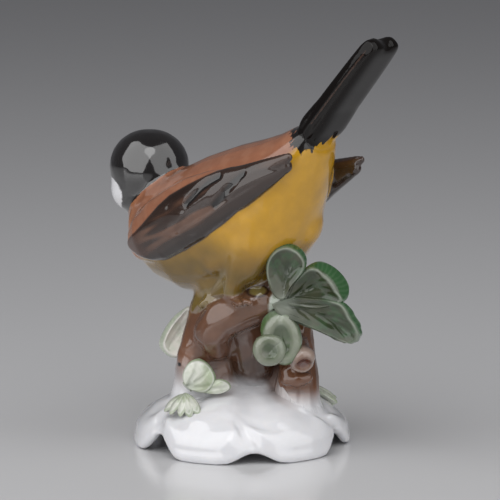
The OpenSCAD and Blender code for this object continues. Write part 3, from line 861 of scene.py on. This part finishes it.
def leaf_disc(bm, place, outline, middle, cup=1.6, veins=(), scallop=0.0, ribs=0.0, lean=(0.0, 0.0), bow=0.0,
              colours=(LEAF_DARK, LEAF_GREY_REFLECTION, LEAF_BRIGHT, LEAF_WHITE), stalk=None, green_from=0.0):
    """Adds one leaf to a bmesh: a grid drawn out to an outline of (right, up, roll, rim) about its middle.

    The face is cupped up to its rim and rolls back beyond it. Veins are pressed in as lines.
    Returns the colours of its points."""
    made = bmesh.ops.create_grid(bm, x_segments=LEAF_SIDES, y_segments=LEAF_SIDES, size=1.0)
    verts = made["verts"]
    grid = np.array([v.co for v in verts])
    gx, gy = grid[:, 0], grid[:, 1]
    dx = gx * np.sqrt(1 - gy**2 / 2)
    dy = gy * np.sqrt(1 - gx**2 / 2)
    e = np.minimum(np.hypot(dx, dy), 1.0)
    turn = (np.arctan2(dy, dx) / (2 * math.pi)) % 1.0
    edge = closed_curve(outline, turn)
    reach = e * (1 + scallop * np.cos(turn * 2 * math.pi * LEAF_SCALLOPS) * e**4)
    right = middle[0] + reach * (edge[:, 0] - middle[0])
    up = middle[1] + reach * (edge[:, 1] - middle[1])
    roll, rim = edge[:, 2], np.clip(edge[:, 3], 0.3, 0.97)
    inner = np.minimum(e / rim, 1.0)
    outer = np.clip((e - rim) / (1 - rim), 0, 1)
    height = cup * inner**2.2 - roll * outer**1.5 - cup * 0.25 * outer
    rib = np.cos(turn * 2 * math.pi * LEAF_RIBS + 1.2 * np.sin(e * 9))
    height += ribs * rib * ramp(outer, 0.05, 0.5)
    off_right, off_up = right - middle[0], up - middle[1]
    height += lean[0] * off_right + lean[1] * off_up + bow * (off_right**2 + off_up**2) * 0.01
    dark, grey, bright, white = colours
    cloud = waves(np.stack([right, up, height], axis=1), 7.0, 91)
    streak = waves(np.stack([right, up, height], axis=1), 2.6, 92)
    # Grey mottling over the leaf, partly a painted reflection of dark surroundings on the cupped face
    colour = mix(np.tile(dark, (len(verts), 1)), grey, 0.75 * ramp(cloud, -0.35, 0.55))
    root = np.array(stalk if stalk is not None else (edge[0, 0], edge[0, 1]))
    from_root = np.hypot(right - root[0], up - root[1])
    greener = ramp(from_root, green_from, green_from + 9.0) * ramp(streak, -0.3, 0.7)
    colour = mix(colour, bright, 0.45 * greener)
    for line in veins:
        gap, share = line_gap(right, up, line)
        height -= 0.26 * bump(gap, 0, 0.9) * (1 - 0.6 * share)
        colour = mix(colour, VEIN, 0.3 * bump(gap, 0, 0.7) * (1 - 0.5 * share))
    on_margin = ramp(outer, 0.12, 0.4) * ramp(roll, 0.5, 1.8)
    colour = mix(colour, bright, on_margin * 0.9)
    colour = mix(colour, LEAF_PALE, on_margin * 0.15 * ramp(rib + 0.6 * cloud, 0.1, 0.9))
    # Painted highlight: a white line along the crest where the cupped face rolls back
    crest = bump((e - rim) * 9.0, 0.15, 0.8)
    colour = mix(colour, white, 0.55 * crest * ramp(roll, 0.2, 1.2))
    colour = mix(colour, white, 0.4 * ramp(e, 0.96, 1.0))
    colour = mix(colour, LEAF_WHITE, 0.45 * (1 - ramp(from_root, 0.5, 5.0)))
    for v, a, b, c in zip(verts, right, up, height):
        v.co = place @ Vector((a, b, c))
    return colour


def leaf_piece(name, node, discs, glaze_material, thickness):
    """Makes one piece of leaves, gives them their thickness and rounds their edges."""
    bm = bmesh.new()
    colours = [leaf_disc(bm, **disc) for disc in discs]
    bmesh.ops.recalc_face_normals(bm, faces=bm.faces)
    mesh = mesh_of(bm, name)
    store(mesh, "paint", np.concatenate(colours))
    mesh.transform(TO_PART)
    shade_smooth(mesh)
    mesh.materials.append(glaze_material)
    piece = scene_object(name, mesh)
    wall = piece.modifiers.new("thickness", "SOLIDIFY")
    wall.thickness = thickness * MM
    wall.offset = -1.0
    rounded(piece, 1)
    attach(piece, "root")
    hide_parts(node)


def facing_front(depth):
    """A frame that looks at the front: right, up, and towards the front, at a depth behind the middle."""
    return Matrix(((1, 0, 0, 0), (0, 0, -1, depth), (0, 1, 0, 0), (0, 0, 0, 1)))


STALK = (11.6, 42.8)
LEAF_TOP = [
    (11.4, 44.4, 0.1, 0.95), (13.4, 47.6, 0.3, 0.9), (15.7, 50.2, 0.9, 0.85), (17.5, 52.6, 1.8, 0.82),
    (18.1, 55.2, 2.6, 0.80), (17.2, 57.5, 3.0, 0.78), (15.2, 59.4, 3.2, 0.78), (12.2, 60.3, 3.2, 0.80),
    (9.4, 59.4, 3.0, 0.82), (7.4, 57.2, 2.6, 0.85), (6.5, 54.4, 2.0, 0.88), (6.6, 51.2, 1.2, 0.9),
    (7.6, 48.2, 0.6, 0.93), (9.0, 45.2, 0.2, 0.95),
]
TOP_VEINS = [
    [(11.2, 45.5), (12.2, 50.0), (12.6, 54.0), (12.8, 57.6)], [(11.6, 48.2), (9.6, 51.6), (8.6, 54.4)],
    [(12.0, 49.4), (14.2, 52.2), (16.0, 54.4)], [(12.4, 52.0), (10.8, 55.0), (10.2, 57.2)],
    [(12.5, 52.8), (14.2, 55.4), (14.8, 57.4)],
]
LEAF_UPPER = [
    (12.4, 43.0, 0.1, 0.9), (18.0, 41.6, 0.1, 0.9), (24.0, 42.0, 0.3, 0.9), (28.8, 43.4, 2.6, 0.80),
    (29.9, 46.2, 4.2, 0.56), (28.8, 49.4, 5.0, 0.52), (26.4, 52.2, 5.2, 0.54), (23.4, 53.9, 4.8, 0.60),
    (20.4, 54.4, 3.6, 0.76), (17.8, 53.4, 2.0, 0.86), (15.2, 50.6, 0.8, 0.9), (13.2, 47.0, 0.3, 0.93),
]
UPPER_VEINS = [
    [(12.6, 44.2), (16.5, 46.6), (20.6, 47.4), (25.4, 46.8)], [(15.8, 46.2), (18.4, 49.2), (20.8, 51.4)],
    [(18.4, 47.0), (21.4, 49.0), (23.4, 49.6)],
]
LEAF_LOWER = [
    (8.2, 42.8, 0.1, 0.95), (10.2, 39.9, 0.3, 0.95), (14.4, 38.3, 0.5, 0.94), (19.4, 36.2, 0.7, 0.93),
    (24.9, 33.8, 0.9, 0.93), (28.4, 32.2, 1.1, 0.93), (31.2, 31.7, 2.0, 0.92), (33.3, 33.2, 3.4, 0.88),
    (33.4, 35.8, 4.0, 0.82), (31.6, 39.2, 4.0, 0.78), (29.0, 43.0, 3.0, 0.82), (24.0, 44.4, 0.6, 0.9),
    (17.0, 44.8, 0.2, 0.95), (11.6, 44.6, 0.1, 0.95),
]
LOWER_VEINS = [
    [(12.4, 42.6), (17.0, 41.2), (23.0, 39.4), (29.6, 35.4)], [(14.5, 42.2), (20.0, 42.4), (26.6, 41.2)],
    [(16.6, 41.4), (20.6, 38.6), (24.0, 35.8)], [(21.0, 40.0), (25.2, 37.6), (28.6, 33.8)],
    [(14.0, 42.0), (16.6, 39.6), (18.6, 37.8)], [(22.6, 39.6), (26.6, 39.2), (29.4, 38.2)],
]
BEAN = [
    (7.0, 34.2, 1.4, 0.8), (7.1, 36.8, 2.0, 0.74), (8.4, 38.8, 2.2, 0.74), (10.4, 39.5, 2.0, 0.78),
    (12.4, 38.7, 1.6, 0.82), (14.1, 36.2, 1.4, 0.84), (14.9, 33.0, 1.4, 0.84), (14.6, 30.4, 1.4, 0.84),
    (13.6, 27.8, 1.6, 0.8), (11.4, 27.2, 1.2, 0.84), (9.0, 30.4, 0.8, 0.86),
]
ROUND_LEAF = [
    (11.0, 30.4, 0.9, 0.86), (10.4, 28.4, 0.9, 0.86), (8.9, 27.2, 0.9, 0.86), (6.6, 27.1, 0.9, 0.86),
    (4.9, 28.4, 0.9, 0.86), (4.2, 30.4, 0.9, 0.86), (4.8, 32.2, 0.9, 0.86), (6.3, 33.3, 0.8, 0.88),
    (8.2, 33.4, 0.8, 0.88), (10.0, 32.5, 0.8, 0.88),
]
BEHIND = [
    (-15.0, 38.6, 0.8, 0.9), (-17.4, 36.8, 1.8, 0.78), (-19.8, 34.4, 2.6, 0.7), (-21.8, 31.6, 3.0, 0.66),
    (-23.3, 28.4, 3.2, 0.66), (-23.7, 25.9, 3.0, 0.7), (-22.6, 24.2, 2.4, 0.76), (-20.0, 23.0, 1.4, 0.84),
    (-16.5, 24.0, 0.6, 0.9), (-13.5, 28.0, 0.4, 0.93), (-12.4, 33.0, 0.4, 0.93), (-13.0, 37.0, 0.5, 0.93),
]
RAISED = [
    (-15.4, 18.5, 0.2, 0.9), (-13.2, 17.4, 0.6, 0.88), (-10.4, 17.0, 1.0, 0.86), (-8.2, 18.4, 1.4, 0.84),
    (-7.2, 20.8, 1.6, 0.84), (-8.2, 23.4, 1.6, 0.84), (-10.0, 25.2, 1.6, 0.84), (-12.2, 25.9, 1.6, 0.84),
    (-14.6, 25.2, 1.4, 0.86), (-16.2, 23.2, 1.0, 0.88), (-16.6, 20.6, 0.6, 0.9),
]
SIDE_LEAF = [
    (-10.9, 17.4, 0.2, 0.9), (-8.4, 16.5, 0.8, 0.84), (-5.4, 16.6, 1.2, 0.8), (-3.0, 18.0, 1.2, 0.8),
    (-3.6, 19.6, 1.2, 0.8), (-6.2, 20.6, 1.0, 0.82), (-9.0, 19.8, 0.6, 0.86),
]

SPRIG_COLOURS = (srgb(182, 190, 164), srgb(210, 211, 202), srgb(134, 158, 112), srgb(226, 226, 222))
BUD_COLOURS = (srgb(76, 88, 64), srgb(108, 110, 94), srgb(80, 112, 64), srgb(176, 180, 162))
BEHIND_COLOURS = (srgb(214, 210, 198), srgb(226, 222, 214), srgb(196, 206, 184), srgb(234, 232, 228))


def almond(length, width):
    """Outline of a small leaf along x: a point at each end and its widest place in the middle."""
    rows = []
    for i in range(12):
        turn = 2 * math.pi * i / 12
        x = (1 + math.cos(turn)) / 2 * length
        y = math.sin(turn) * abs(math.sin(turn)) ** 0.25 * width / 2
        rows.append((x, y, 0.9, 0.72))
    return rows


def resting_leaflets(tree, root, tips, width, lift):
    """Small leaves that fan out from a root and lie on the skin."""
    discs = []
    for tip in tips:
        start, end = Vector(root), Vector(tip)
        normal = tree.find_nearest(start.lerp(end, 0.6))[1]
        length = (end - start).length
        place = frame_from(start + normal * lift, end - start, normal)
        discs.append({
            "place": place, "outline": almond(length, width), "middle": (length * 0.55, 0), "cup": -0.7,
            "veins": [[(0.5, 0), (length * 0.85, 0)]], "colours": SPRIG_COLOURS, "stalk": (0, 0),
            "green_from": -6.0,
        })
    return discs


# Piece, node, glaze, thickness, depth behind the middle, and how the leaf is drawn
FLAT_LEAVES = [
    ("leaf_top_china", "leaf_top", "leaf_glaze", 1.4, -18.4, {
        "outline": LEAF_TOP, "middle": (12.2, 53.2), "cup": 1.9, "veins": TOP_VEINS,
        "ribs": 0.02, "lean": (0.0, 0.04), "stalk": STALK, "green_from": 4.0}),
    ("leaf_upper_china", "leaf_upper", "leaf_glaze", 1.4, -16.6, {
        "outline": LEAF_UPPER, "middle": (20.6, 46.6), "cup": 1.9, "veins": UPPER_VEINS,
        "ribs": 0.03, "lean": (0.04, 0.02), "stalk": STALK, "green_from": 6.0}),
    ("leaf_lower_china", "leaf_lower", "leaf_glaze", 1.4, -17.4, {
        "outline": LEAF_LOWER, "middle": (21.5, 39.8), "cup": 1.7, "veins": LOWER_VEINS,
        "scallop": 0.012, "ribs": 0.04, "lean": (0.06, 0.0), "stalk": STALK, "green_from": 5.0}),
    ("bud_leaf_china", "bud_leaf", "pale_leaf_glaze", 2.0, -16.6, {
        "outline": BEAN, "middle": (11.0, 33.6), "cup": 0.7, "colours": BUD_COLOURS,
        "veins": [[(10.6, 38.0), (11.4, 33.0), (11.8, 29.0)]], "stalk": (10.4, 40.6), "green_from": 2.0}),
    ("bud_round_china", "bud_round", "pale_leaf_glaze", 1.5, -18.6, {
        "outline": ROUND_LEAF, "middle": (7.6, 30.2), "cup": 0.8, "colours": BUD_COLOURS,
        "veins": [[(9.6, 32.0), (7.2, 29.2)]], "stalk": (12.5, 33.0), "green_from": 3.0}),
    ("leaf_behind_china", "leaf_behind", "pale_leaf_glaze", 1.8, 4.0, {
        "outline": BEHIND, "middle": (-18.0, 30.2), "cup": 1.2, "ribs": 0.04,
        "colours": BEHIND_COLOURS, "veins": [[(-14.4, 36.0), (-17.6, 31.0), (-20.6, 26.6)]],
        "lean": (0.35, 0.0), "stalk": (-12.0, 37.0)}),
    ("sprig_raised_china", "sprig_leaf_raised", "pale_leaf_glaze", 1.8, -13.2, {
        "outline": RAISED, "middle": (-11.8, 21.4), "cup": -0.6,
        "colours": SPRIG_COLOURS, "lean": (0.06, -0.42), "stalk": (-15.6, 18.6),
        "veins": [[(-15.2, 18.8), (-13.4, 22.0), (-13.0, 25.0)], [(-15.2, 18.7), (-11.4, 21.0), (-9.2, 23.4)],
                  [(-15.2, 18.6), (-11.6, 18.8), (-8.4, 19.2)]]}),
    ("sprig_side_china", "sprig_leaf_side", "pale_leaf_glaze", 1.8, -13.6, {
        "outline": SIDE_LEAF, "middle": (-7.0, 18.4), "cup": -0.4,
        "colours": SPRIG_COLOURS, "lean": (0.0, -0.35), "stalk": (-11.4, 17.8),
        "veins": [[(-10.4, 17.8), (-4.2, 18.8)]]}),
]
# Piece, node, thickness, root, tips, width, and how far the leaflets lie off the skin
LEAFLETS = [
    ("sprig_leaflets_china", "sprig_leaflets", 1.4, (-16.4, -13.8, 17.4), [
        (-22.3, -15.6, 12.4), (-20.6, -17.8, 12.0), (-17.6, -19.4, 11.6), (-14.4, -20.4, 11.6),
        (-11.6, -20.0, 12.4)], 3.6, 0.6),
    ("leaf_rear_china", "leaf_rear", 1.6, (17.6, 6.4, 15.6), [
        (27.4, 2.4, 11.0), (27.2, 7.6, 11.2), (25.0, 12.6, 11.2)], 5.0, 0.9),
]


def make_leaves(tree, glazes):
    for name, node, slot, thickness, depth, disc in FLAT_LEAVES:
        discs = [{"place": facing_front(depth), **disc}]
        leaf_piece(name, node, discs, glazes[slot], thickness)
    for name, node, thickness, root, tips, width, lift in LEAFLETS:
        discs = resting_leaflets(tree, root, tips, width, lift)
        leaf_piece(name, node, discs, glazes["pale_leaf_glaze"], thickness)


# ---------------------------------------------------------------- the skin cut back into its pieces

NODE_GLAZE = {node: "bark_glaze" for node in BARK_NODES} | {
    "base_mound": "white_glaze", "bird_body": "plumage_glaze", "bird_head": "head_glaze",
    "wing_left": "wing_glaze", "wing_right": "wing_glaze", "tail": "black_glaze",
    "leg_left": "leg_glaze", "leg_right": "leg_glaze", "leaf_stem": "leaf_glaze",
}


def face_nodes(skin, places):
    """The node that each face of the skin belongs to, with borders kept from touching themselves."""
    gaps = places.stack.copy()
    for _ in range(8):
        for row in range(len(gaps)):
            gaps[row] = skin.mean(gaps[row])
    corners = read_all(skin.mesh.loops, "vertex_index", 4, np.int64)
    label = gaps[:, corners].mean(axis=2).argmin(axis=0)
    sides = np.concatenate([np.stack([corners[:, i], corners[:, (i + 1) % 4]], axis=1) for i in range(4)])
    sides.sort(axis=1)
    order = np.lexsort((sides[:, 1], sides[:, 0]))
    pairs = (order % len(corners)).reshape(-1, 2)
    ends = sides[order[::2]]
    kinds = len(gaps)
    for _ in range(40):
        one, two = label[pairs[:, 0]], label[pairs[:, 1]]
        border = one != two
        count = np.zeros(skin.count * kinds, dtype=np.int32)
        for end in (0, 1):
            for node in (one, two):
                np.add.at(count, ends[border, end] * kinds + node[border], 1)
        pinched = np.unique(np.flatnonzero(count > 2) // kinds)
        if len(pinched) == 0:
            break
        votes = np.zeros((skin.count, kinds), dtype=np.int32)
        for i in range(4):
            np.add.at(votes, (corners[:, i], label), 1)
        for point in pinched:
            label[(corners == point).any(axis=1)] = votes[point].argmax()
    return label


def close_and_shade(piece):
    """Fills a cut piece where it met its neighbours, and keeps the whole skin's shading up to the cuts."""
    mesh = piece.data
    bm = bmesh.new()
    bm.from_mesh(mesh)
    rim = [e for e in bm.edges if e.is_boundary]
    for e in rim:
        e.smooth = False
    skin_faces = len(bm.faces)
    caps = bmesh.ops.holes_fill(bm, edges=rim, sides=0)["faces"]
    bmesh.ops.poke(bm, faces=caps)
    for f in bm.faces:
        f.smooth = True
    bm.to_mesh(mesh)
    bm.free()
    outward = read_all(mesh.attributes["outward"].data, "vector", 3, np.float32)
    shading = outward[read_all(mesh.loops, "vertex_index", 1, np.int64)[:, 0]]
    shading[skin_faces * 4:] = 0
    mesh.normals_split_custom_set(shading.tolist())
    mesh.attributes.remove(mesh.attributes["outward"])


def cut_apart(skin, places, glazes):
    """Cuts the finished skin into one piece for each CAD node that it covers, and fills the cuts."""
    mesh = skin.mesh
    label = face_nodes(skin, places)
    layer = mesh.attributes.new("outward", "FLOAT_VECTOR", "POINT")
    layer.data.foreach_set("vector", read_all(mesh.vertex_normals, "vector", 3).astype(np.float32).ravel())
    whole = scene_object("whole_skin", mesh)
    for node in SKIN_NODES:
        mesh.materials.append(glazes[NODE_GLAZE[node]])
    mesh.polygons.foreach_set("material_index", label.astype(np.int32))
    mesh.attributes.new("node", "INT", "FACE").data.foreach_set("value", label.astype(np.int32))
    bpy.context.view_layer.objects.active = whole
    before = set(bpy.data.objects) - {whole}
    whole.select_set(True)
    bpy.ops.object.mode_set(mode="EDIT")
    bpy.ops.mesh.select_all(action="SELECT")
    bpy.ops.mesh.separate(type="MATERIAL")
    bpy.ops.object.mode_set(mode="OBJECT")
    cut = set(bpy.data.objects) - before
    for piece in sorted(cut, key=lambda o: o.data.attributes["node"].data[0].value):
        node = SKIN_NODES[piece.data.attributes["node"].data[0].value]
        piece.data.attributes.remove(piece.data.attributes["node"])
        close_and_shade(piece)
        piece.name = node + "_china"
        piece.data.materials.clear()
        piece.data.materials.append(glazes[NODE_GLAZE[node]])
        piece.data.polygons.foreach_set("material_index", [0] * len(piece.data.polygons))
        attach(piece, "root")
        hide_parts(node)


# ---------------------------------------------------------------- eyes and beak

RING_SIDES = 32


def lofted(matrix, rings):
    """A closed skin over oval rings of (x, z, half width, half height), from the root to the tip."""
    bm = bmesh.new()
    # A circle lies in x and y, so its y is turned up to stand across the way to the tip
    stand = Matrix(((0, 0, 1, 0), (1, 0, 0, 0), (0, 1, 0, 0), (0, 0, 0, 1)))
    loops = []
    for x, z, wide, high in rings:
        place = matrix @ Matrix.Translation((x, 0, z)) @ stand @ Matrix.Diagonal((wide, high, 1, 1))
        circle = bmesh.ops.create_circle(bm, segments=RING_SIDES, radius=1, matrix=place)["verts"]
        loops.append(list(dict.fromkeys(edge for v in circle for edge in v.link_edges)))
    for one, two in zip(loops, loops[1:]):
        bmesh.ops.bridge_loops(bm, edges=one + two)
    for end in (loops[0], loops[-1]):
        bmesh.ops.holes_fill(bm, edges=end, sides=0)
    bmesh.ops.recalc_face_normals(bm, faces=bm.faces)
    return bm


def black_piece(name, node, bm, glaze_material, brown=0):
    """A small black detail of the head; its first points may be brown."""
    mesh = mesh_of(bm, name)
    paint = np.tile(np.array(BLACK, dtype=np.float32), (len(mesh.vertices), 1))
    paint[:brown] = SOOT
    store(mesh, "paint", paint)
    mesh.transform(TO_PART)
    piece = scene_object(name, mesh)
    piece.data.materials.append(glaze_material)
    shade_smooth(mesh)
    rounded(piece, 2)
    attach(piece, "root")
    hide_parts(node)


def make_eyes_and_beak(glaze_material):
    eye_rings = [
        (-1.6, 1.5), (0.3, 2.0), (0.62, 2.05), (0.82, 1.9), (0.72, 1.66), (1.0, 1.5), (1.36, 1.14),
        (1.6, 0.7), (1.7, 0.3)
    ]
    for side, node in ((1, "eye_left"), (-1, "eye_right")):
        turn = Matrix.Rotation(math.radians(side * 50), 4, "Z") @ Matrix.Rotation(math.radians(-14), 4, "Y")
        seat = HEAD @ turn @ Matrix.Translation((HEAD_R - 0.7, 0, 0))
        bead = lofted(seat, [(x, 0, r, r) for x, r in eye_rings])
        black_piece(node + "_bead", node, bead, glaze_material, 4 * RING_SIDES)
    root = HEAD_R - 2.0
    bill = lofted(HEAD, [
        (root, -0.8, 2.3, 1.6), (root + 2.6, -1.0, 1.85, 1.2), (root + 4.6, -1.4, 1.25, 0.85),
        (root + 6.3, -1.9, 0.66, 0.45), (root + 7.3, -2.3, 0.28, 0.22)
    ])
    lower = lofted(HEAD, [
        (root, -2.9, 2.0, 1.2), (root + 2.6, -2.8, 1.5, 0.85), (root + 4.6, -2.7, 1.0, 0.55),
        (root + 6.2, -2.7, 0.5, 0.3), (root + 6.8, -2.7, 0.2, 0.14)
    ])
    half = mesh_of(lower, "lower_bill")
    bill.from_mesh(half)
    bpy.data.meshes.remove(half)
    black_piece("beak_bill", "beak", bill, glaze_material)


skin = fused_skin()
places = sculpt(skin)
place_points(skin.mesh, skin.points)
paint, ink, bare = paint_figure(skin, places)
store(skin.mesh, "paint", paint)
store(skin.mesh, "ink", ink)
store(skin.mesh, "bare", bare)
skin_tree = BVHTree.FromPolygons(
    [tuple(p) for p in skin.points], [tuple(p.vertices) for p in skin.mesh.polygons]
)
make_leaves(skin_tree, {
    "leaf_glaze": glaze("leaf_glaze", coat=0.5, coat_ior=1.5, inked=False),
    "pale_leaf_glaze": glaze("pale_leaf_glaze", coat=0.8, coat_ior=1.5, inked=False),
})
GLAZES = {
    "white_glaze": glaze("white_glaze", depth=0.25, speckle=0.01, coat_ior=1.5),
    "bark_glaze": glaze("bark_glaze", coat=0.8, coat_ior=1.5),
    "plumage_glaze": glaze("plumage_glaze", coat=0.6, coat_ior=1.5, speckle=0.04),
    "head_glaze": glaze("head_glaze", coat_ior=1.75),
    "black_glaze": glaze("black_glaze", coat=0.08, ior=1.25, roughness=0.08),
    "wing_glaze": glaze("wing_glaze", coat=0.55, coat_ior=1.55),
    "leg_glaze": glaze("leg_glaze", coat_ior=1.6),
    "leaf_glaze": glaze("stem_glaze"),
}
skin.mesh.transform(TO_PART)
shade_smooth(skin.mesh)
cut_apart(skin, places, GLAZES)
make_eyes_and_beak(glaze("bead_glaze", coat_ior=1.9, inked=False))


def plain(name, colour):
    material = bpy.data.materials.new(name)
    material.use_nodes = True
    shader = material.node_tree.nodes["Principled BSDF"]
    shader.inputs["Base Color"].default_value = (*colour, 1)
    shader.inputs["Roughness"].default_value = 0.15
    return material


def add_light(name, at, target, width, height, power):
    light = bpy.data.lights.new(name, "AREA")
    light.shape = "RECTANGLE"
    light.size = width
    light.size_y = height
    light.energy = power
    lamp = scene_object(name, light)
    lamp.location = at
    lamp.rotation_euler = (Vector(target) - Vector(at)).to_track_quat("-Z", "Y").to_euler()


add_light("softbox_left", (-0.50, -0.44, 0.62), (0, 0, 0.12), 1.22, 1.40, 9.0)
add_light("softbox_right", (0.52, -0.46, 0.60), (0, 0, 0.12), 1.22, 1.40, 6.2)

bm = bmesh.new()
bmesh.ops.create_grid(bm, x_segments=1, y_segments=1, size=3)
floor = scene_object("floor", mesh_of(bm, "floor"))
floor.data.materials.append(plain("floor_paper", (0.68, 0.68, 0.69)))

bpy.context.scene.view_settings.view_transform = "Standard"
world = bpy.data.worlds.new("studio")
bpy.context.scene.world = world
world.use_nodes = True
world.node_tree.nodes["Background"].inputs["Color"].default_value = (0.6, 0.6, 0.64, 1)
world.node_tree.nodes["Background"].inputs["Strength"].default_value = 0.16

# How much the lens covers at its distance, both in millimetres, and how far the camera is above level
COVERED = 140.4
DISTANCE = 950
CAMERA_RISE = math.radians(10)
FILM_WIDTH = 36
AIM = Vector((0.05, 0.9, 55.0)) * MM
camera_data = bpy.data.cameras.new("camera")
camera = scene_object("camera", camera_data)
camera.location = AIM + Vector((0, -math.cos(CAMERA_RISE), math.sin(CAMERA_RISE))) * (DISTANCE * MM)
camera.rotation_euler = (AIM - camera.location).to_track_quat("-Z", "Y").to_euler()
camera_data.lens = FILM_WIDTH / COVERED * DISTANCE
camera_data.sensor_width = FILM_WIDTH
bpy.context.scene.camera = camera
